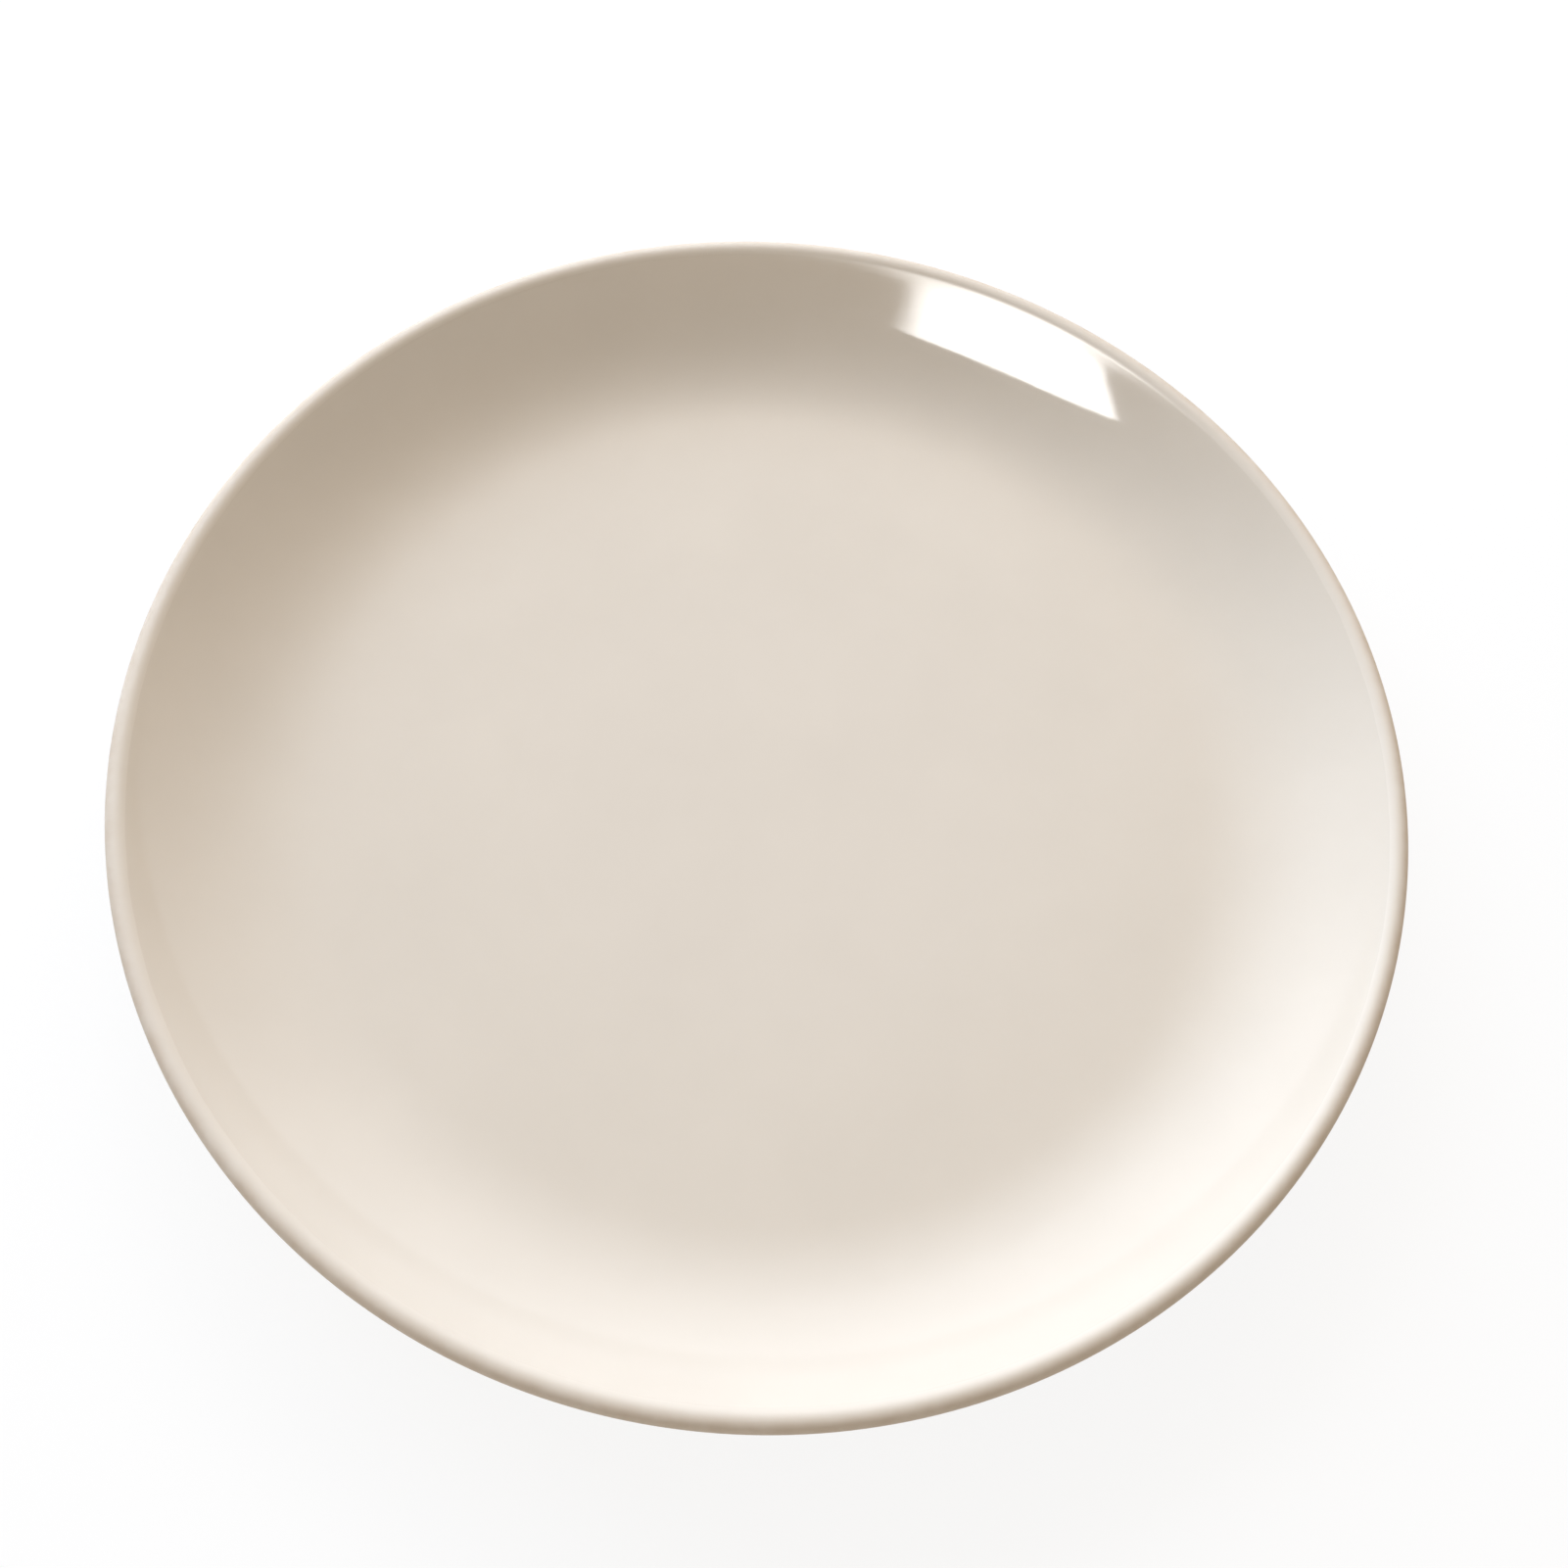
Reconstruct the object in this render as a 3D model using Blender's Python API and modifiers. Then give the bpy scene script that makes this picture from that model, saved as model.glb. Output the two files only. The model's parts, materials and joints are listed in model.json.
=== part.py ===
"""A round coupe plate for fruit: one fired clay body inside a fused coat of glaze.

Every piece is turned, so each is a section in the XZ plane swept once round Z. The section of the
finished plate is a few arcs joined by straight runs. A piece follows it at a depth below the glazed
surface: the coat from 0 to its own thickness, and the clay a fit gap deeper than that.

Metres, +Z up. The origin is on the table, under the middle of the plate.
"""

import math

import bpy

# Driving dimensions of the finished plate, in metres
DIAMETER = 0.205
WELL_RADIUS = 0.0712  # where the flat floor ends and the wall begins to rise
WELL_THICKNESS = 0.005
FACE_BEND = 0.0341  # radius of the sweep from the floor up into the wall
UNDERSIDE_BEND = 0.038
LIP_RADIUS = 0.00175
FOOT_HEIGHT = 0.0026
FOOT_OUTER = 0.0655
FOOT_INNER = 0.0603
FOOT_FILLET = 0.0018
FOOT_EDGE = 0.0006  # rounding of the bare clay edges that meet the table
RECESS_HEIGHT = 0.0024  # the ceiling inside the foot ring, above the table
GLAZE_THICKNESS = 0.0004
FIT_GAP = 0.0003

# Driving angles, in degrees
WALL_SLOPE = 47.4
UNDERSIDE_SLOPE = 49.5  # a little steeper than the wall, so that the wall thins towards the lip
GLAZE_LINE = 75.0  # how far round each foot fillet the glaze reaches before it was wiped off

# Facets: steps round the axis, and along each arc of the section
TURN_STEPS = 64
BEND_STEPS = 7
LIP_STEPS = 8
FILLET_STEPS = 4
EDGE_STEPS = 3

CLAY_COLOUR = (0.62, 0.55, 0.46, 1.0)
GLAZE_COLOUR = (0.82, 0.77, 0.69, 1.0)

# Depths of the surfaces below the glazed one
COAT_INSIDE = GLAZE_THICKNESS
CLAY_SURFACE = GLAZE_THICKNESS + FIT_GAP


def from_down(angle, length):
    """The (r, z) step of a given length, turned outwards by an angle in degrees from straight down."""
    turned = math.radians(angle)
    return length * math.sin(turned), -length * math.cos(turned)


def moved(point, step):
    return point[0] + step[0], point[1] + step[1]


# Centres of the arcs, worked out so that each straight run is tangent to the arcs at its ends
WELL_TOP = FOOT_HEIGHT + WELL_THICKNESS
FACE_CENTRE = (WELL_RADIUS, WELL_TOP + FACE_BEND)


def lip_centre():
    """The wall runs on from its bend at WALL_SLOPE, LIP_RADIUS above the centre of the lip."""
    run_start = moved(FACE_CENTRE, from_down(WALL_SLOPE, FACE_BEND + LIP_RADIUS))
    r = DIAMETER / 2 - LIP_RADIUS
    return r, run_start[1] + (r - run_start[0]) * math.tan(math.radians(WALL_SLOPE))


LIP_CENTRE = lip_centre()


def underside_centre():
    """The underside runs in from the lip at UNDERSIDE_SLOPE and bends level at the foot's height."""
    z = FOOT_HEIGHT + UNDERSIDE_BEND
    step = from_down(UNDERSIDE_SLOPE, UNDERSIDE_BEND - LIP_RADIUS)
    rise = LIP_CENTRE[1] - (z + step[1])
    return LIP_CENTRE[0] - step[0] - rise / math.tan(math.radians(UNDERSIDE_SLOPE)), z


UNDERSIDE_CENTRE = underside_centre()
OUTER_FILLET_CENTRE = (FOOT_OUTER + FOOT_FILLET, FOOT_HEIGHT - FOOT_FILLET)
INNER_FILLET_CENTRE = (FOOT_INNER - FOOT_FILLET, RECESS_HEIGHT - FOOT_FILLET)


def arc(centre, radius, start, end, steps):
    """Points of an arc, from one angle to another, in degrees outwards from straight down."""
    angles = (start + (end - start) * i / steps for i in range(steps + 1))
    return [moved(centre, from_down(angle, radius)) for angle in angles]


def face(depth):
    """The floor of the well, from the axis out, and the bend up into the wall."""
    centre_point = (0.0, WELL_TOP - depth)
    return [centre_point] + arc(FACE_CENTRE, FACE_BEND + depth, 0, WALL_SLOPE, BEND_STEPS)


def lip(depth):
    """Over the top of the lip, from the wall's run to the underside's."""
    return arc(LIP_CENTRE, LIP_RADIUS - depth, 180 + WALL_SLOPE, UNDERSIDE_SLOPE, LIP_STEPS)


def underside(depth):
    """The outside of the wall's bend, from its slope to level."""
    return arc(UNDERSIDE_CENTRE, UNDERSIDE_BEND - depth, UNDERSIDE_SLOPE, 0, BEND_STEPS)


def outer_fillet(depth, turn):
    """From the level underside down into the foot's outer flank, over turn degrees."""
    return arc(OUTER_FILLET_CENTRE, FOOT_FILLET + depth, 180, 180 + turn, FILLET_STEPS)


def inner_fillet(depth, turn):
    """From the foot's inner flank up into the recess's ceiling, over the last turn degrees."""
    return arc(INNER_FILLET_CENTRE, FOOT_FILLET + depth, 180 - turn, 180, FILLET_STEPS)


def foot_bottom():
    """The bare clay that stands on the table, from the outer flank to the inner one."""
    outer = (FOOT_OUTER - CLAY_SURFACE - FOOT_EDGE, FOOT_EDGE)
    inner = (FOOT_INNER + CLAY_SURFACE + FOOT_EDGE, FOOT_EDGE)
    return arc(outer, FOOT_EDGE, 90, 0, EDGE_STEPS) + arc(inner, FOOT_EDGE, 0, -90, EDGE_STEPS)


def clay_section():
    depth = CLAY_SURFACE
    top = face(depth) + lip(depth) + underside(depth)
    foot = outer_fillet(depth, 90) + foot_bottom() + inner_fillet(depth, 90)
    return top + foot + [(0.0, RECESS_HEIGHT + depth)]


def coat_section():
    """Out along the glazed surface to the foot's glaze line, and back along the side on the clay."""

    def side(depth):
        return face(depth) + lip(depth) + underside(depth) + outer_fillet(depth, GLAZE_LINE)

    return side(0) + side(COAT_INSIDE)[::-1]


def recess_section():
    """The pool of glaze inside the foot ring, from the clay side round to the open side."""

    def side(depth):
        return inner_fillet(depth, GLAZE_LINE) + [(0.0, RECESS_HEIGHT + depth)]

    return side(COAT_INSIDE)[::-1] + side(0)


def material(name, colour, roughness):
    made = bpy.data.materials.new(name)
    made.use_nodes = True
    shader = made.node_tree.nodes["Principled BSDF"]
    shader.inputs["Base Color"].default_value = colour
    shader.inputs["Roughness"].default_value = roughness
    shader.inputs["Metallic"].default_value = 0.0
    return made


def turned_piece(name, section, finish, parent, collection):
    """A section that starts and ends on the axis, swept once round it."""
    mesh = bpy.data.meshes.new(name)
    points = [(r, 0.0, z) for r, z in section]
    edges = [(i, i + 1) for i in range(len(points) - 1)]
    mesh.from_pydata(points, edges, [])
    mesh.materials.append(finish)
    piece = bpy.data.objects.new(name, mesh)
    piece.parent = parent
    collection.objects.link(piece)
    sweep = piece.modifiers.new("turn", "SCREW")
    sweep.axis = "Z"
    sweep.steps = sweep.render_steps = TURN_STEPS
    sweep.use_merge_vertices = True
    sweep.merge_threshold = 0.00001
    sweep.use_smooth_shade = True
    return piece


def main():
    for old in list(bpy.data.objects):
        bpy.data.objects.remove(old)
    collection = bpy.data.collections.new("fruit_plate")
    bpy.context.scene.collection.children.link(collection)
    axis = bpy.data.objects.new("turning_axis", None)
    collection.objects.link(axis)

    clay = material("fired_clay", CLAY_COLOUR, 0.85)
    glaze = material("ivory_glaze", GLAZE_COLOUR, 0.1)
    turned_piece("clay_body", clay_section(), clay, axis, collection)
    turned_piece("glaze_coat", coat_section(), glaze, axis, collection)
    turned_piece("foot_recess_glaze", recess_section(), glaze, axis, collection)


main()
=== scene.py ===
"""The looks of a round coupe plate for fruit: ivory glaze over fired clay, on a pale studio floor.

Lengths are in metres. The plate stands on z = 0 and is turned about Z, so every piece is a section, drawn as
radius r and height z, carried once round that axis.
"""

import json

import bpy
import numpy as np
from mathutils import Matrix, Vector


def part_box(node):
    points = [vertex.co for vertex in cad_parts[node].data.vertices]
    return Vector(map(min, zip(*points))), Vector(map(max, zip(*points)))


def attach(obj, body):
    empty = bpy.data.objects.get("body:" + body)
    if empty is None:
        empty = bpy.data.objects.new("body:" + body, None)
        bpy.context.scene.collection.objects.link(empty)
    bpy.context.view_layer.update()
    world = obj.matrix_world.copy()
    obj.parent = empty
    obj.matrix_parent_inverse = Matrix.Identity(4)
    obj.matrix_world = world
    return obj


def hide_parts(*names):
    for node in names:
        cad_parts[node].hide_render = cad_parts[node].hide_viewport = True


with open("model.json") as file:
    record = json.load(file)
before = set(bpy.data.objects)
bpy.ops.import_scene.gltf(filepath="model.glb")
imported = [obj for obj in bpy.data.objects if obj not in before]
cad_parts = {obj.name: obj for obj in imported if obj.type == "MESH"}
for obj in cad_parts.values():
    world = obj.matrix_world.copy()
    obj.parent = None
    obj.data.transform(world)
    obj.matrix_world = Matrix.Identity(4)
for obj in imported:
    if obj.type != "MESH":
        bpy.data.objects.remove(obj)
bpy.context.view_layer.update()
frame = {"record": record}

MM = 0.001


def mount_place(name):
    """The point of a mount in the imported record."""
    found = [mount for mount in frame["record"]["mounts"] if mount["name"] == name]
    return Vector(found[0]["pos_m"])


# The section of the finished plate
PLATE_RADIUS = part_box("glaze_coat")[1].x
WELL_TOP = mount_place("well_floor").z
DOME_RISE = 0.2 * MM  # the middle of the floor, above its nominal height
DOME_START = 40.0 * MM  # where the floor begins to fall towards the wall
DOME_END = 66.0 * MM  # where it falls most
DOME_SLOPE = np.radians(2.0)
BEND_START = 72.5 * MM  # where the wall begins to rise
BEND_END = 111.3 * MM  # where it would reach its full slope, past the lip
BEND_QUICKNESS = 0.77  # under 1, the slope sets in faster than it settles
FULL_SLOPE = np.radians(66.0)
UNDERSIDE_SLOPE = np.radians(49.5)
UNDERSIDE_BEND = 38.0 * MM
LIP_OUTER = 1.85 * MM  # radius of the lip's outer side
LIP_CREST = 1.5 * MM  # radius just inside its crest
LIP_BLEND = 2.6 * MM  # the wider radius with which it leaves the wall
FOOT_HEIGHT = 2.6 * MM
FOOT_OUTER = 65.5 * MM
FOOT_INNER = 60.3 * MM
FOOT_FILLET = 1.8 * MM
FOOT_EDGE = 0.6 * MM
RECESS_HEIGHT = 2.4 * MM

# The glaze: how deep it is, and how it ends on the flanks of the foot
CLAY_DEPTH = 0.7 * MM
GLAZE_BACK = 0.68 * MM  # the side on the clay, with a hair's gap that doesn't show
GLAZE_LINE = np.radians(72.0)  # how far round a foot fillet it reaches
LINE_WANDER = np.radians(4.0)
LINE_WAVES = ((3, 1.0), (7, 0.7), (16, 0.5), (29, 0.3))  # waves in a turn, and their share of the wander
OUTER_PHASE = 1.0  # these make the waves outside the foot unlike those inside
INNER_PHASE = 2.0
BACK_REACH = GLAZE_LINE - 3 * LINE_WANDER  # the side on the clay stops short of the line wherever it wanders
EDGE_ROUND = 0.9 * MM
BEAD_HEIGHT = 0.09 * MM
BEAD_PLACE = 1.3 * MM
BEAD_WIDTH = 0.6 * MM
BEAD_START = 0.25  # the share of the way to the line over which the bead sets in
EDGE_CROWDING = 0.7  # under 1, the points crowd towards the line, where the edge is round

# Where the glaze ran thin: about a place on the lip's outer side, whose darker tint is also painted shade,
# and along its edge on the foot
LIP_THIN_SHADE_PLACE = np.radians(45.0)  # from the lip's crest
LIP_THIN_SHADE_WIDTH = np.radians(42.0)
EDGE_THIN = 0.7 * MM

# Points along each stretch of the section
FLOOR_POINTS = 10
WALL_POINTS = 90
LIP_POINTS = 20
RUN_POINTS = 5
UNDERSIDE_POINTS = 28
EDGE_POINTS = 30
FILLET_POINTS = 24
FOOT_EDGE_POINTS = 10
BACK_POINTS = 8
BACK_STEP = 3  # the coat's side on the clay keeps every third point
FINE = 6000  # for sums along a curve
LIP_ROUNDS = 30  # for the search for the lip's start

TURN_STEPS = 320
TURN = np.linspace(0, 2 * np.pi, TURN_STEPS, endpoint=False)
UP, OUT, DOWN, IN = np.pi / 2, 0.0, -np.pi / 2, np.pi  # directions in the section, for its arcs


def eased(x):
    """0 up to x = 0, 1 from x = 1, and 3x^2 - 2x^3 between: it sets in and settles without a kink."""
    x = np.clip(x, 0.0, 1.0)
    return x * x * (3.0 - 2.0 * x)


def arc(centre, radius, start, end, count):
    """Points on a circle, from one angle to another, in radians anticlockwise from straight out."""
    angle = np.linspace(start, end, count)
    return np.stack([centre[0] + radius * np.cos(angle), centre[1] + radius * np.sin(angle)], -1)


def wall_slope(r):
    """The face's angle above the level at radius r: the full slope times the ease of the share of the bend,
    that share raised to a power under 1. What the bend leaves over is the dome's slight fall, eased in
    too."""
    share = np.clip((r - BEND_START) / (BEND_END - BEND_START), 0.0, 1.0)
    rise = eased(share**BEND_QUICKNESS)
    fall = eased((r - DOME_START) / (DOME_END - DOME_START))
    return FULL_SLOPE * rise - DOME_SLOPE * fall * (1.0 - rise)


def running_sum(values, steps):
    """The sum of values times steps from the first point to each, by trapezes."""
    return np.concatenate([[0.0], np.cumsum((values[1:] + values[:-1]) / 2 * steps)])


def lip_inside(slope):
    """From the wall over to the crest, from (0, 0). The surface's slope falls evenly to level, on a radius of
    curvature that is eased from the blend's to the crest's. Each point is the running sum of radius times
    turn, along the slope."""
    turn = np.linspace(slope, 0.0, LIP_POINTS)
    radius = LIP_CREST + (LIP_BLEND - LIP_CREST) * eased(turn / slope)
    step = slope / (LIP_POINTS - 1)
    return np.stack([running_sum(radius * np.cos(turn), step), running_sum(radius * np.sin(turn), step)], -1)


def lip_start():
    """The radius where the lip begins: stepped back until the lip just reaches the plate's radius."""
    r = PLATE_RADIUS
    for _ in range(LIP_ROUNDS):
        r = PLATE_RADIUS - LIP_OUTER - lip_inside(wall_slope(r))[-1, 0]
    return r


def face_curve():
    """The floor of the well, the wall, and the lip up to its crest. Heights are the running sum of the
    tangent of the slope."""
    fine = np.linspace(0.0, PLATE_RADIUS, FINE)
    heights = running_sum(np.tan(wall_slope(fine)), np.diff(fine))
    end = lip_start()
    floor = np.linspace(0.0, DOME_START, FLOOR_POINTS)[:-1]
    r = np.concatenate([floor, np.linspace(DOME_START, end, WALL_POINTS)])
    wall = np.stack([r, WELL_TOP + DOME_RISE + np.interp(r, fine, heights)], -1)
    return np.concatenate([wall, wall[-1] + lip_inside(wall_slope(end))[1:]])


FACE = face_curve()
LIP_CENTRE = FACE[-1] - np.array([0.0, LIP_OUTER])
OUTER_FILLET = (FOOT_OUTER + FOOT_FILLET, FOOT_HEIGHT - FOOT_FILLET)
INNER_FILLET = (FOOT_INNER - FOOT_FILLET, RECESS_HEIGHT - FOOT_FILLET)


def lip_curve():
    """The lip's outer side: one arc from its crest to the underside's slope."""
    return arc(LIP_CENTRE, LIP_OUTER, UP, DOWN + UNDERSIDE_SLOPE, 2 * LIP_POINTS)[1:]


def underside_curve():
    """From the lip in and down at the underside's slope, and round an arc to level at the foot's height."""
    z = FOOT_HEIGHT + UNDERSIDE_BEND
    reach = UNDERSIDE_BEND - LIP_OUTER
    rise = LIP_CENTRE[1] - z + reach * np.cos(UNDERSIDE_SLOPE)
    r = LIP_CENTRE[0] - reach * np.sin(UNDERSIDE_SLOPE) - rise / np.tan(UNDERSIDE_SLOPE)
    bend = arc((r, z), UNDERSIDE_BEND, DOWN + UNDERSIDE_SLOPE, DOWN, UNDERSIDE_POINTS)
    lip_end = LIP_CENTRE + LIP_OUTER * np.array([np.sin(UNDERSIDE_SLOPE), -np.cos(UNDERSIDE_SLOPE)])
    run = lip_end + np.linspace(0, 1, RUN_POINTS)[1:-1, None] * (bend[0] - lip_end)
    return np.concatenate([run, bend])


def inset(curve, depth):
    """A curve moved into the body by a depth: each point along its normal, to the right of the way that the
    curve runs."""
    along = np.gradient(curve, axis=0)
    along /= np.linalg.norm(along, axis=1, keepdims=True)
    moved = curve + depth * np.stack([along[:, 1], -along[:, 0]], -1)
    moved[curve[:, 0] == 0.0, 0] = 0.0
    return moved


def all_round(curve):
    """One section, the same at every step of the turn."""
    return np.repeat(curve[:, None, :], TURN_STEPS, axis=1)


def glaze_line(phase):
    """How far round a foot fillet the glaze reaches at each step of the turn: its mean and a few waves of
    unlike length, as a sponge leaves it."""
    waves = sum(share * np.sin(count * (TURN + phase)) for count, share in LINE_WAVES)
    return GLAZE_LINE + LINE_WANDER * waves


def glaze_edge(centre, start, turn, phase):
    """The glaze on a foot fillet, from start to its line. Its surface stands off the clay by a thickness that
    falls to nothing at the line as a quarter ellipse, with a low bead behind it. Also gives the distance to
    the line."""
    share = np.linspace(0.0, 1.0, EDGE_POINTS)[:, None] ** EDGE_CROWDING
    reach = glaze_line(phase)
    to_line = (1 - share) * reach * (FOOT_FILLET + CLAY_DEPTH)
    rounding = np.sqrt(1 - (1 - np.clip(to_line / EDGE_ROUND, 0, 1)) ** 2)
    bead = BEAD_HEIGHT * np.exp(-((to_line - BEAD_PLACE) / BEAD_WIDTH) ** 2) * eased(share / BEAD_START)
    radius = FOOT_FILLET + GLAZE_BACK - (GLAZE_BACK + bead) * rounding
    angle = start + turn * share * reach
    points = np.stack([centre[0] + radius * np.cos(angle), centre[1] + radius * np.sin(angle)], -1)
    return points, to_line


def turned_surface(name, sections, thinness):
    """Carries a section that starts and ends on the axis once round Z. Row i, column j of the grid is point i
    of the section at step j of the turn; the first and last rows are the poles. Thinness is how far the glaze
    at each point shows the clay, and on the lip also painted shade; it becomes an attribute of the mesh."""
    rings = sections[1:-1]
    count = len(rings)
    xyz = np.stack([rings[..., 0] * np.cos(TURN), rings[..., 0] * np.sin(TURN), rings[..., 1]], -1)
    poles = np.array([[0, 0, sections[0, 0, 1]], [0, 0, sections[-1, 0, 1]]])
    points = np.concatenate([xyz.reshape(-1, 3), poles])
    column = np.arange(TURN_STEPS)
    beside = (column + 1) % TURN_STEPS
    row = np.arange(count - 1)[:, None] * TURN_STEPS
    below = row + TURN_STEPS
    quads = np.stack([row + column, below + column, below + beside, row + beside], -1).reshape(-1, 4)
    first, last = count * TURN_STEPS, count * TURN_STEPS + 1
    end = (count - 1) * TURN_STEPS
    top = np.stack([np.full(TURN_STEPS, first), column, beside], -1)
    bottom = np.stack([end + column, np.full(TURN_STEPS, last), end + beside], -1)
    mesh = bpy.data.meshes.new(name)
    mesh.from_pydata(points.tolist(), [], top.tolist() + quads.tolist() + bottom.tolist())
    mesh.shade_smooth()
    values = np.concatenate([thinness[1:-1].reshape(-1), thinness[[0, -1], 0]])
    attribute = mesh.attributes.new("thin_glaze_and_lip_shade", "FLOAT", "POINT")
    attribute.data.foreach_set("value", values.astype(np.float32))
    piece = bpy.data.objects.new(name, mesh)
    bpy.context.scene.collection.objects.link(piece)
    return piece


def glaze_coat():
    """Out over the face, the lip and the underside to the glaze's edge on the foot, and back along the clay.
    Its thinness on the lip is a bell curve of the distance from one place on the lip's outer side, and its
    darker tint there is also painted shade."""
    body = np.concatenate([FACE, lip_curve(), underside_curve()])
    edge, to_line = glaze_edge(OUTER_FILLET, UP, 1, OUTER_PHASE)
    outside = np.concatenate([all_round(body), edge[1:]])
    # the lip's darker tint centres here: thin glaze, and painted shade on the lip's outer side
    thin_shade_centre = LIP_CENTRE + LIP_OUTER * np.array([np.sin(LIP_THIN_SHADE_PLACE), np.cos(LIP_THIN_SHADE_PLACE)])
    away = np.linalg.norm(body - thin_shade_centre, axis=1) / (LIP_OUTER * LIP_THIN_SHADE_WIDTH)
    thin_and_shaded_lip = np.repeat(np.exp(-(away**2))[:, None], TURN_STEPS, axis=1)
    thin = np.concatenate([thin_and_shaded_lip, np.exp(-to_line[1:] / EDGE_THIN)])
    fillet = arc(OUTER_FILLET, FOOT_FILLET, UP, UP + BACK_REACH, BACK_POINTS)
    back = all_round(inset(np.concatenate([body, fillet[1:]]), GLAZE_BACK)[::-BACK_STEP])
    back[-1, :, 0] = 0.0
    sections = np.concatenate([outside, back])
    thinness = np.concatenate([thin, np.zeros(back.shape[:2])])
    return turned_surface("ivory_glaze_coat", sections, thinness)


def clay_body():
    """Under the glaze over the face, the lip and the underside, then round the bare foot and across its
    recess."""
    fillet = arc(OUTER_FILLET, FOOT_FILLET, UP, IN, FILLET_POINTS)
    upper = inset(np.concatenate([FACE, lip_curve(), underside_curve(), fillet[1:]]), CLAY_DEPTH)
    outer_centre = (FOOT_OUTER - CLAY_DEPTH - FOOT_EDGE, FOOT_EDGE)
    inner_centre = (FOOT_INNER + CLAY_DEPTH + FOOT_EDGE, FOOT_EDGE)
    outer_edge = arc(outer_centre, FOOT_EDGE, OUT, DOWN, FOOT_EDGE_POINTS)
    inner_edge = arc(inner_centre, FOOT_EDGE, DOWN, -IN, FOOT_EDGE_POINTS)
    inner = arc(INNER_FILLET, FOOT_FILLET + CLAY_DEPTH, OUT, UP, FILLET_POINTS)[1:]
    axis = np.array([[0.0, RECESS_HEIGHT + CLAY_DEPTH]])
    sections = all_round(np.concatenate([upper, outer_edge, inner_edge, inner, axis]))
    return turned_surface("fired_clay_body", sections, np.zeros(sections.shape[:2]))


def recess_glaze():
    """The pool of glaze inside the foot: along the clay to the edge on the inner flank, and back across its
    face."""
    edge, to_line = glaze_edge(INNER_FILLET, UP, -1, INNER_PHASE)
    fillet = arc(INNER_FILLET, FOOT_FILLET + GLAZE_BACK, UP, UP - BACK_REACH, BACK_POINTS)
    back = all_round(np.concatenate([[[0.0, RECESS_HEIGHT + GLAZE_BACK]], fillet]))
    axis = all_round(np.array([[0.0, RECESS_HEIGHT]]))
    face = np.concatenate([edge[::-1], axis])
    thin = np.concatenate([np.exp(-to_line[::-1] / EDGE_THIN), np.zeros(axis.shape[:2])])
    sections = np.concatenate([back, face])
    thinness = np.concatenate([np.zeros(back.shape[:2]), thin])
    return turned_surface("foot_recess_glaze_disc", sections, thinness)


# Materials
WHITE = "#ffffff"


def linear(hex_colour):
    """An sRGB hex colour as the linear RGBA that shaders take, by the sRGB standard's curve."""
    srgb = np.array([int(hex_colour[i:i + 2], 16) for i in (1, 3, 5)]) / 255
    value = np.where(srgb <= 0.04045, srgb / 12.92, ((srgb + 0.055) / 1.055) ** 2.4)
    return (*value, 1.0)


def add(tree, kind, settings=None, inputs=None):
    """Adds a node. Settings are its own properties. Inputs are values for its sockets, or sockets to link to
    them. Map Range takes its value and the ends of its two ranges as 0 to 4. Mix takes its share and its two
    colours as 0, 6 and 7, and gives the colour as 2."""
    node = tree.nodes.new("ShaderNode" + kind)
    for name, value in (settings or {}).items():
        setattr(node, name, value)
    for name, value in (inputs or {}).items():
        if isinstance(value, bpy.types.NodeSocket):
            tree.links.new(value, node.inputs[name])
        else:
            node.inputs[name].default_value = value
    return node


def new_material(name):
    """An empty material and its tree."""
    made = bpy.data.materials.new(name)
    made.use_nodes = True
    made.node_tree.nodes.clear()
    return made, made.node_tree


COLOURS = {"data_type": "RGBA"}  # a Mix node's setting for colours
NOISE_LOW, NOISE_HIGH = 0.3, 0.7  # nearly all of a noise lies between these

# Ivory glaze
GLAZE_PALE = "#e1d8cb"
GLAZE_DEEP = "#dbd2c5"
# darker and warmer: the clay through thin glaze, and on the lip's outer side also painted shade
GLAZE_THIN_AND_SHADE = "#cfc0ae"
GLAZE_GLOSS = 0.055
GLAZE_DULL = 0.085
GLAZE_DRY = 0.9  # the roughness where it ran thin
DRY_REACH = 0.35  # a power under 1 of the thinness: the dull band is wider than the darker line of clay and painted shade
GLAZE_IOR = 1.5
CLOUD_SIZE = 18.0 * MM
CLOUD_DETAIL = 3.0
BREAK_SIZE = 3.0 * MM
BREAK_DETAIL = 2.0
BREAK_LEAST = 0.5  # the least share of the darker tint, clay colour and painted shade, along the thin line
SHEEN_SIZE = 7.0 * MM
SHEEN_DETAIL = 4.0
PEEL_SIZE = 2.6 * MM
PEEL_DETAIL = 1.0
PEEL_HEIGHT = 0.004 * MM


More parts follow.
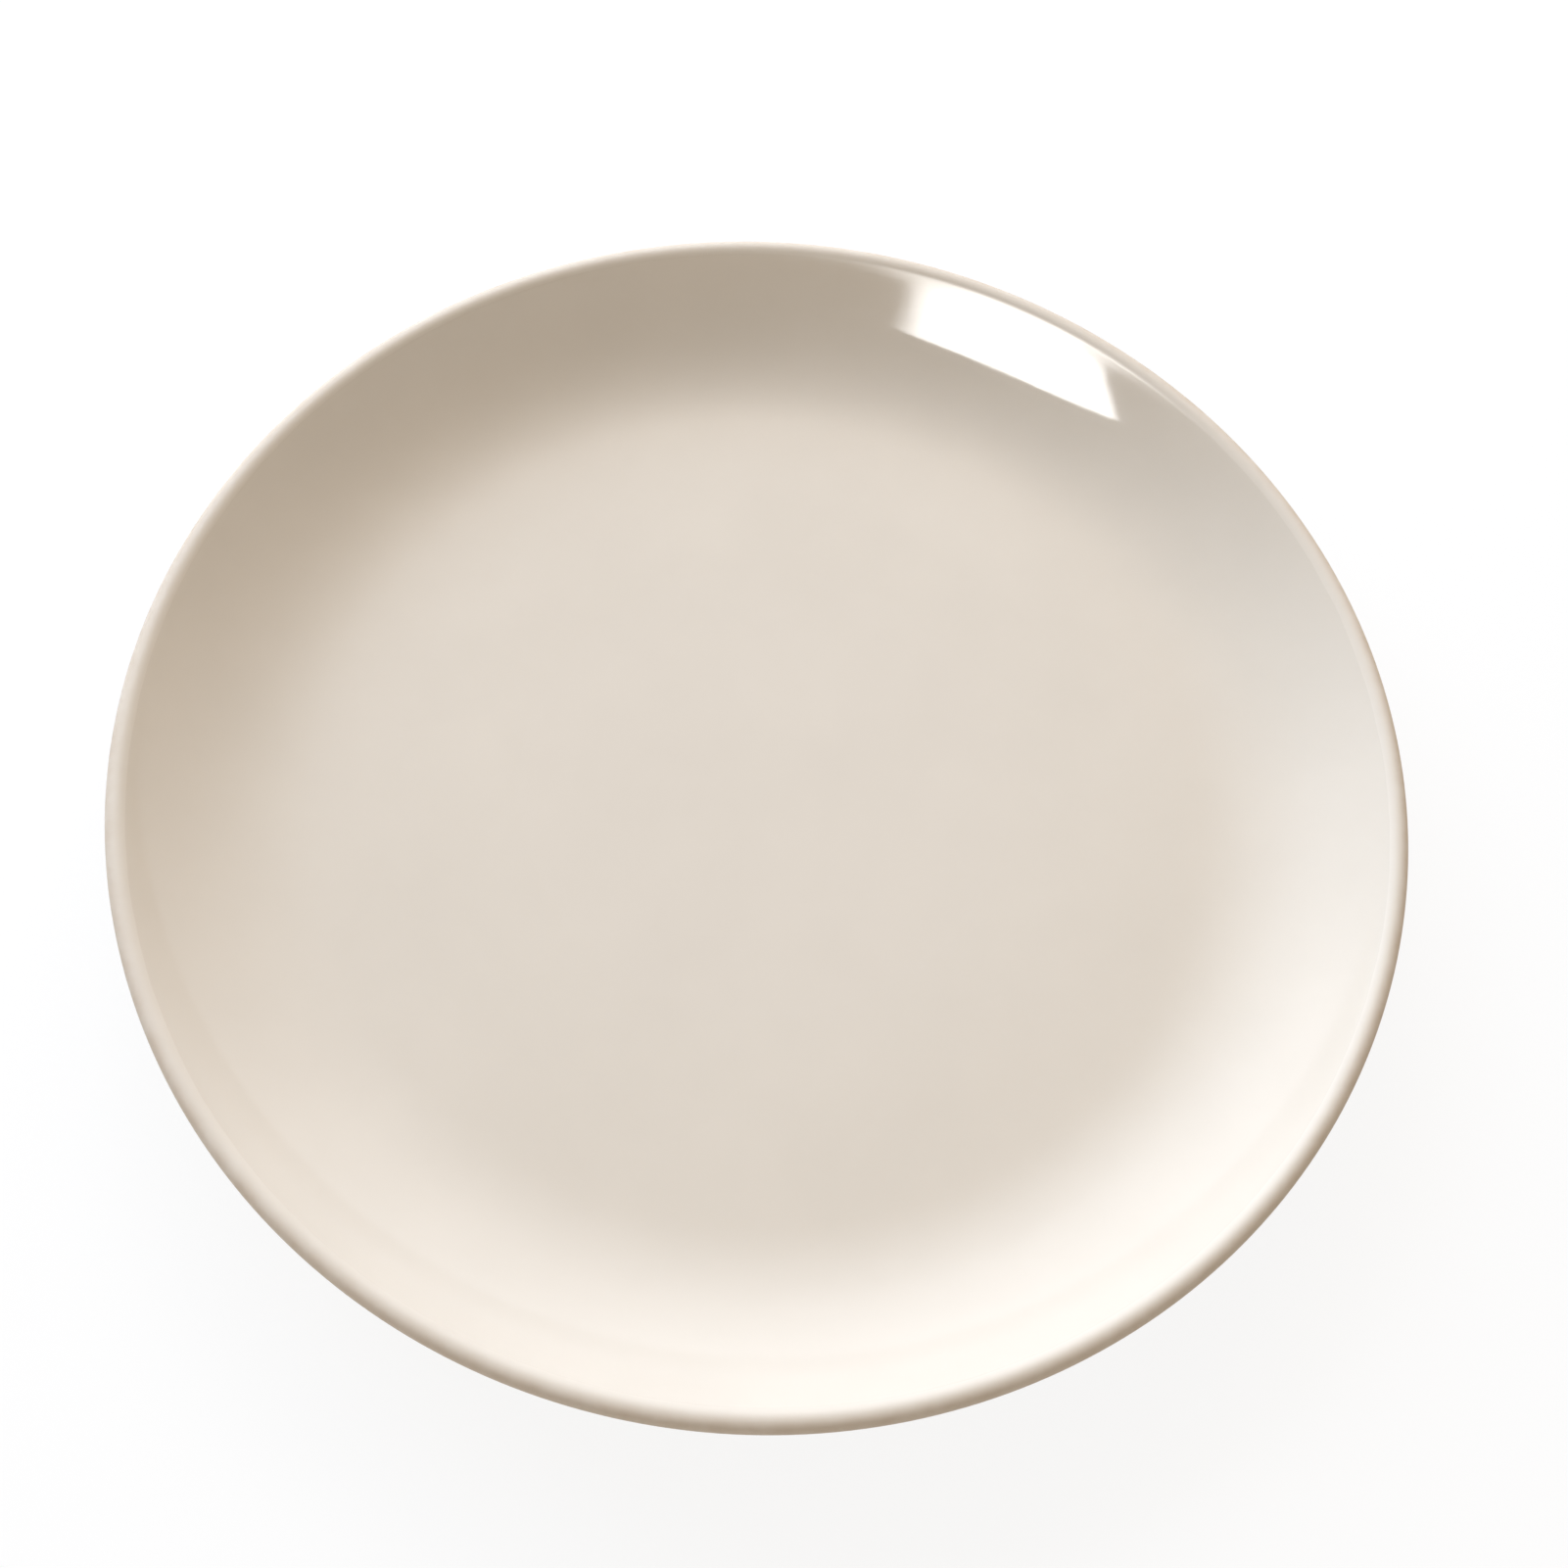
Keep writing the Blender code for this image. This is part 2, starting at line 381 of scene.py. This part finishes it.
def glossy_ivory_glaze():
    """An opaque ivory glaze, poured over the clay and fired until it fused to a glass. The eye gets an even
    ivory with faint clouds, sharp mirror images that waver a little on its orange peel, and a duller, warmer
    line where it ran thin. On the lip's outer side that darker tint is partly clay through thin glaze and
    partly painted shade."""
    made, tree = new_material("glossy_ivory_glaze_fused")
    place = add(tree, "TexCoord").outputs["Object"]
    clouds = add(tree, "TexNoise", inputs={"Vector": place, "Scale": 1 / CLOUD_SIZE, "Detail": CLOUD_DETAIL})
    two_tones = {0: clouds.outputs["Fac"], 6: linear(GLAZE_DEEP), 7: linear(GLAZE_PALE)}
    ivory = add(tree, "Mix", COLOURS, two_tones)
    thin = add(tree, "Attribute", {"attribute_name": "thin_glaze_and_lip_shade"}).outputs["Fac"]
    breaks = add(tree, "TexNoise", inputs={"Vector": place, "Scale": 1 / BREAK_SIZE, "Detail": BREAK_DETAIL})
    least_to_all = {0: breaks.outputs["Fac"], 1: NOISE_LOW, 2: NOISE_HIGH, 3: BREAK_LEAST, 4: 1.0}
    broken = add(tree, "MapRange", inputs=least_to_all)
    # the darker tint: clay through thin glaze, and on the lip's outer side also painted shade
    clay_and_shade_share = add(tree, "Math", {"operation": "MULTIPLY"}, {0: thin, 1: broken.outputs[0]})
    over_clay_and_shade = {0: clay_and_shade_share.outputs[0], 6: ivory.outputs[2], 7: linear(GLAZE_THIN_AND_SHADE)}
    colour = add(tree, "Mix", COLOURS, over_clay_and_shade)
    sheen = add(tree, "TexNoise", inputs={"Vector": place, "Scale": 1 / SHEEN_SIZE, "Detail": SHEEN_DETAIL})
    gloss_to_dull = {0: sheen.outputs["Fac"], 1: NOISE_LOW, 2: NOISE_HIGH, 3: GLAZE_GLOSS, 4: GLAZE_DULL}
    gloss = add(tree, "MapRange", inputs=gloss_to_dull)
    dull = add(tree, "Math", {"operation": "POWER"}, {0: thin, 1: DRY_REACH})
    gloss_to_dry = {0: dull.outputs[0], 1: 0.0, 2: 1.0, 3: gloss.outputs[0], 4: GLAZE_DRY}
    dry = add(tree, "MapRange", inputs=gloss_to_dry)
    peel = add(tree, "TexNoise", inputs={"Vector": place, "Scale": 1 / PEEL_SIZE, "Detail": PEEL_DETAIL})
    bump = add(tree, "Bump", inputs={"Height": peel.outputs["Fac"], "Distance": PEEL_HEIGHT})
    finish = {"Base Color": colour.outputs[2], "Roughness": dry.outputs[0], "IOR": GLAZE_IOR}
    shader = add(tree, "BsdfPrincipled", inputs={**finish, "Normal": bump.outputs[0]})
    add(tree, "OutputMaterial", inputs={"Surface": shader.outputs["BSDF"]})
    return made


# Bare clay
CLAY_PALE = "#cdbb9f"
CLAY_DEEP = "#b19a7a"
CLAY_TOASTED = "#9c7550"
CLAY_RUBBED = "#93887a"
CLAY_SPECK = "#6d5a45"
CLAY_ROUGHNESS = 0.9
CLAY_IOR = 1.45
GRAIN_SIZE = 1.6 * MM
GRAIN_DETAIL = 5.0
GRIT_SIZE = 0.45 * MM
GRIT_HEIGHT = 0.05 * MM
TOAST_FROM = 0.5 * MM  # heights above the table
TOAST_TO = 1.2 * MM
RUBBED_TO = 0.12 * MM
TOAST_MOST = 0.6  # the largest share of each tint
RUBBED_MOST = 0.45
SPECK_MOST = 0.6
SPECK_REACH = 0.25  # how far a speck reaches, as a share of the grit's size


def bare_stoneware():
    """Buff stoneware, wiped clean of glaze and fired: dry and matt, with grit that catches the light, dark
    specks, a toasted line along the glaze, and a standing face rubbed grey by tables."""
    made, tree = new_material("bare_buff_stoneware_fired")
    place = add(tree, "TexCoord").outputs["Object"]
    height = add(tree, "SeparateXYZ", inputs={0: place}).outputs["Z"]
    grain = add(tree, "TexNoise", inputs={"Vector": place, "Scale": 1 / GRAIN_SIZE, "Detail": GRAIN_DETAIL})
    two_tones = {0: grain.outputs["Fac"], 6: linear(CLAY_DEEP), 7: linear(CLAY_PALE)}
    buff = add(tree, "Mix", COLOURS, two_tones)
    toast = add(tree, "MapRange", inputs={0: height, 1: TOAST_FROM, 2: TOAST_TO, 3: 0.0, 4: TOAST_MOST})
    toasted = {0: toast.outputs[0], 6: buff.outputs[2], 7: linear(CLAY_TOASTED)}
    warm = add(tree, "Mix", COLOURS, toasted)
    rub = add(tree, "MapRange", inputs={0: height, 1: 0.0, 2: RUBBED_TO, 3: RUBBED_MOST, 4: 0.0})
    rubbed = {0: rub.outputs[0], 6: warm.outputs[2], 7: linear(CLAY_RUBBED)}
    worn = add(tree, "Mix", COLOURS, rubbed)
    grit = add(tree, "TexVoronoi", inputs={"Vector": place, "Scale": 1 / GRIT_SIZE})
    dark_to_none = {0: grit.outputs["Distance"], 1: 0.0, 2: SPECK_REACH, 3: SPECK_MOST, 4: 0.0}
    speck = add(tree, "MapRange", inputs=dark_to_none)
    specked = {0: speck.outputs[0], 6: worn.outputs[2], 7: linear(CLAY_SPECK)}
    colour = add(tree, "Mix", COLOURS, specked)
    bump = add(tree, "Bump", inputs={"Height": grit.outputs["Distance"], "Distance": GRIT_HEIGHT})
    finish = {"Base Color": colour.outputs[2], "Roughness": CLAY_ROUGHNESS, "IOR": CLAY_IOR}
    shader = add(tree, "BsdfPrincipled", inputs={**finish, "Normal": bump.outputs[0]})
    add(tree, "OutputMaterial", inputs={"Surface": shader.outputs["BSDF"]})
    return made


GLAZE = glossy_ivory_glaze()
CLAY = bare_stoneware()

for piece, node, slot, finish in (
    (glaze_coat(), "glaze_coat", "ivory_glaze", GLAZE),
    (clay_body(), "clay_body", "fired_clay", CLAY),
    (recess_glaze(), "foot_recess_glaze", "ivory_glaze", GLAZE),
):
    piece.data.materials.append(finish)
    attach(piece, "root")
    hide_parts(node)

# Studio floor, air and lamps
FLOOR_SIZE = 60.0
FLOOR_GLOW = 0.87
FLOOR_SEEN = 0.13
FLOOR_BOUNCE = "#d8d0c6"
FADE_START = 0.17  # distances from the middle between which it fades to the backdrop's white
FADE_END = 0.5
AIR_COLOUR = "#fff3e4"
AIR_STRENGTH = 0.5
PANEL_ARCH = 0.14  # how far the panel's upper edge is arched, as a share of its height
PANEL_TAPER = (0.0, 0.245)  # how far its two sides draw in towards the bottom, as shares of half its width
PANEL_SOFT = (0.1, 0.42)  # the widths over which its two sides fade, as shares of half its width


def seen_or_mirrored(tree):
    """1 for rays from the camera and those that the object mirrors or bends, 0 for those that light it."""
    path = add(tree, "LightPath").outputs
    most = {"operation": "MAXIMUM"}
    seen = add(tree, "Math", most, {0: path["Is Camera Ray"], 1: path["Is Glossy Ray"]})
    return add(tree, "Math", most, {0: seen.outputs[0], 1: path["Is Transmission Ray"]}).outputs[0]


def studio_floor():
    """A level sheet. The eye sees it near white, with the plate's soft shadow, and as white as the backdrop
    farther off. The light that it gives back is a warm pale tone."""
    half = FLOOR_SIZE / 2
    corners = [(-half, -half, 0), (half, -half, 0), (half, half, 0), (-half, half, 0)]
    mesh = bpy.data.meshes.new("studio_floor")
    mesh.from_pydata(corners, [], [(0, 1, 2, 3)])
    floor = bpy.data.objects.new("studio_floor", mesh)
    bpy.context.scene.collection.objects.link(floor)
    made, tree = new_material("pale_studio_floor")
    glow = add(tree, "Emission", inputs={"Strength": FLOOR_GLOW})
    paper = add(tree, "BsdfDiffuse", inputs={"Color": (FLOOR_SEEN, FLOOR_SEEN, FLOOR_SEEN, 1)})
    near = add(tree, "AddShader", inputs={0: glow.outputs[0], 1: paper.outputs[0]})
    white = add(tree, "Emission", inputs={"Strength": 1.0})
    place = add(tree, "TexCoord").outputs["Object"]
    away = add(tree, "VectorMath", {"operation": "LENGTH"}, {0: place}).outputs["Value"]
    smooth = {"interpolation_type": "SMOOTHSTEP"}
    far = add(tree, "MapRange", smooth, {0: away, 1: FADE_START, 2: FADE_END})
    seen = add(tree, "MixShader", inputs={0: far.outputs[0], 1: near.outputs[0], 2: white.outputs[0]})
    bounce = add(tree, "BsdfDiffuse", inputs={"Color": linear(FLOOR_BOUNCE)})
    either = {0: seen_or_mirrored(tree), 1: bounce.outputs[0], 2: seen.outputs[0]}
    mix = add(tree, "MixShader", inputs=either)
    add(tree, "OutputMaterial", inputs={"Surface": mix.outputs[0]})
    mesh.materials.append(made)
    return floor


def studio_air():
    """White behind the object, and a dim warm light from all round it."""
    world = bpy.data.worlds.new("studio_air")
    bpy.context.scene.world = world
    world.use_nodes = True
    tree = world.node_tree
    tree.nodes.clear()
    air = add(tree, "Background", inputs={"Color": linear(AIR_COLOUR), "Strength": AIR_STRENGTH})
    white = add(tree, "Background", inputs={"Color": linear(WHITE), "Strength": 1.0})
    either = {0: seen_or_mirrored(tree), 1: air.outputs[0], 2: white.outputs[0]}
    mix = add(tree, "MixShader", inputs=either)
    add(tree, "OutputWorld", inputs={"Surface": mix.outputs[0]})


def softbox(name, azimuth, elevation, distance, size, strength, colour):
    """A rectangular lamp that faces the plate from a direction in degrees. Strength is the light that it
    gives off per area and direction."""
    lamp = bpy.data.lights.new(name, "AREA")
    lamp.shape = "RECTANGLE"
    lamp.size, lamp.size_y = size
    lamp.energy = strength * np.pi * size[0] * size[1]
    lamp.color = linear(colour)[:3]
    holder = bpy.data.objects.new(name, lamp)
    level = np.cos(np.radians(elevation))
    around = np.radians(azimuth)
    direction = Vector((level * np.cos(around), level * np.sin(around), np.sin(np.radians(elevation))))
    holder.location = distance * direction
    holder.rotation_euler = direction.to_track_quat("Z", "Y").to_euler()
    holder.visible_camera = False
    bpy.context.scene.collection.objects.link(holder)
    return holder


def fill(name, azimuth, elevation, distance, size, strength, colour):
    """A softbox behind a scrim: it lights the plate, and no mirror image shows its outline."""
    holder = softbox(name, azimuth, elevation, distance, size, strength, colour)
    holder.visible_glossy = False


def panel_glow(tree):
    """How bright the panel is at each place on it: 1 within its outline and 0 outside. Its upper edge falls
    with the square of the way from the middle to a side. Its sides draw in towards the bottom, and the light
    fades towards them, over a width that grows evenly from one side to the other."""
    place = add(tree, "SeparateXYZ", inputs={0: add(tree, "NewGeometry").outputs["Parametric"]}).outputs
    across = add(tree, "MapRange", inputs={0: place["X"], 1: 0.0, 2: 1.0, 3: -1.0, 4: 1.0})
    aside = add(tree, "Math", {"operation": "ABSOLUTE"}, {0: across.outputs[0]})
    foot_width = {0: place["X"], 1: 0.0, 2: 1.0, 3: 1 - PANEL_TAPER[0], 4: 1 - PANEL_TAPER[1]}
    drawn = add(tree, "MapRange", inputs=foot_width)
    side = add(tree, "MapRange", inputs={0: place["Y"], 1: 0.0, 2: 1.0, 3: drawn.outputs[0], 4: 1.0})
    inside = add(tree, "Math", {"operation": "SUBTRACT"}, {0: side.outputs[0], 1: aside.outputs[0]})
    soft_width = {0: place["X"], 1: 0.0, 2: 1.0, 3: PANEL_SOFT[0], 4: PANEL_SOFT[1]}
    soft = add(tree, "MapRange", inputs=soft_width)
    faded = {0: inside.outputs[0], 1: 0.0, 2: soft.outputs[0]}
    fade = add(tree, "MapRange", {"interpolation_type": "SMOOTHSTEP"}, faded)
    square = add(tree, "Math", {"operation": "MULTIPLY"}, {0: aside.outputs[0], 1: aside.outputs[0]})
    edge = add(tree, "MapRange", inputs={0: square.outputs[0], 1: 0.0, 2: 1.0, 3: 1.0, 4: 1.0 - PANEL_ARCH})
    below = add(tree, "Math", {"operation": "LESS_THAN"}, {0: place["Y"], 1: edge.outputs[0]})
    glow = add(tree, "Math", {"operation": "MULTIPLY"}, {0: fade.outputs[0], 1: below.outputs[0]})
    return glow.outputs[0]


def mirrored_panel(name, azimuth, elevation, turn, distance, size, drop, strength):
    """A panel that shows only as a mirror image: turned about its axis, and hung below it by the drop."""
    holder = softbox(name, azimuth, elevation, distance, size, strength, WHITE)
    holder.rotation_euler.rotate_axis("Z", np.radians(turn))
    holder.location -= holder.rotation_euler.to_matrix() @ Vector((0.0, drop, 0.0))
    holder.visible_diffuse = False
    holder.data.use_nodes = True
    tree = holder.data.node_tree
    tree.nodes.clear()
    light = add(tree, "Emission", inputs={"Strength": panel_glow(tree)})
    add(tree, "OutputLight", inputs={"Surface": light.outputs[0]})


studio_floor()
studio_air()
fill(
    "cool_window",
    azimuth=128.0,
    elevation=26.0,
    distance=1.4,
    size=(1.5, 1.1),
    strength=5.57,
    colour="#d2e6ff",
)
fill(
    "warm_lamp",
    azimuth=90.0,
    elevation=38.0,
    distance=1.4,
    size=(1.0, 0.5),
    strength=4.18,
    colour="#ffeedc",
)
mirrored_panel(
    "near_panel",
    azimuth=-118.8,
    elevation=35.0,
    turn=16.1,
    distance=1.2,
    size=(0.716, 0.944),
    drop=0.125,
    strength=20.0,
)

# The camera, at the photograph's viewing angle
CAMERA_DISTANCE = 270.0 * MM
CAMERA_ELEVATION = np.radians(65.5)
CAMERA_ROLL = np.radians(7.873)
CAMERA_AIM = Vector((3.074, -2.489, 12.0)) * MM
CAMERA_LENS = 37.901  # in millimetres, as the sensor's width is
CAMERA_SENSOR = 36.0
CAMERA_NEAREST = 10.0 * MM


def photo_camera():
    """A camera that looks at its aim from the front and above, turned about its own axis."""
    camera = bpy.data.cameras.new("photo_camera")
    camera.sensor_width = CAMERA_SENSOR
    camera.lens = CAMERA_LENS
    camera.clip_start = CAMERA_NEAREST
    holder = bpy.data.objects.new("photo_camera", camera)
    back = Vector((0.0, -np.cos(CAMERA_ELEVATION), np.sin(CAMERA_ELEVATION)))
    holder.location = CAMERA_AIM + CAMERA_DISTANCE * back
    tilt = Matrix.Rotation(np.pi / 2 - CAMERA_ELEVATION, 3, "X")
    holder.rotation_euler = (tilt @ Matrix.Rotation(CAMERA_ROLL, 3, "Z")).to_euler()
    bpy.context.scene.collection.objects.link(holder)
    bpy.context.scene.camera = holder


photo_camera()
bpy.context.scene.view_settings.view_transform = "Standard"
